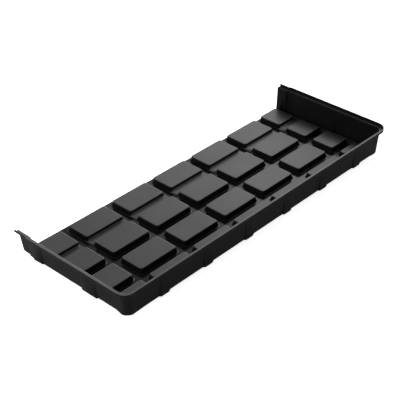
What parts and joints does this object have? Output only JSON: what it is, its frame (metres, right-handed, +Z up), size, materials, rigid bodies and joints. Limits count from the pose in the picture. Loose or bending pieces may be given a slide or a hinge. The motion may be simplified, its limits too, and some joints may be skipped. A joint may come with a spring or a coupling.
{
  "type": "hydroponic flood tray section",
  "caption": "Black formed plastic end section of a flood tray: walls on both ends and the front, open back, floor of raised pads and channels, with inlet and overflow fittings.",
  "frame": {"origin": "centre of the box on the plane that the feet stand on", "axes": "+X along the long front wall to the right, +Y from the front wall to the open side, +Z up"},
  "size_m": [1.235, 0.4884, 0.1022],
  "materials": {
    "formed_sheet": "black satin sheet",
    "moulding": "black moulded plastic",
    "seal": "dark rubber"
  },
  "bodies": {
    "tray": {"tray_shell": "formed_sheet", "inlet_fitting": "moulding", "inlet_gasket": "seal", "inlet_lock_nut": "moulding", "overflow_fitting": "moulding", "overflow_gasket": "seal", "overflow_lock_nut": "moulding"},
    "strainer": {"inlet_strainer": "moulding"},
    "riser": {"overflow_riser": "moulding"},
    "cap": {"overflow_cap": "moulding"}
  },
  "joints": [
    {"name": "strainer_lift", "type": "slide", "parent": "tray", "child": "strainer", "axis": [0, 0, 1], "range_m": [0, 0.04]},
    {"name": "riser_lift", "type": "slide", "parent": "tray", "child": "riser", "axis": [0, 0, 1], "range_m": [0, 0.04]},
    {"name": "cap_lift", "type": "slide", "parent": "riser", "child": "cap", "axis": [0, 0, 1], "range_m": [0, 0.02]}
  ]
}
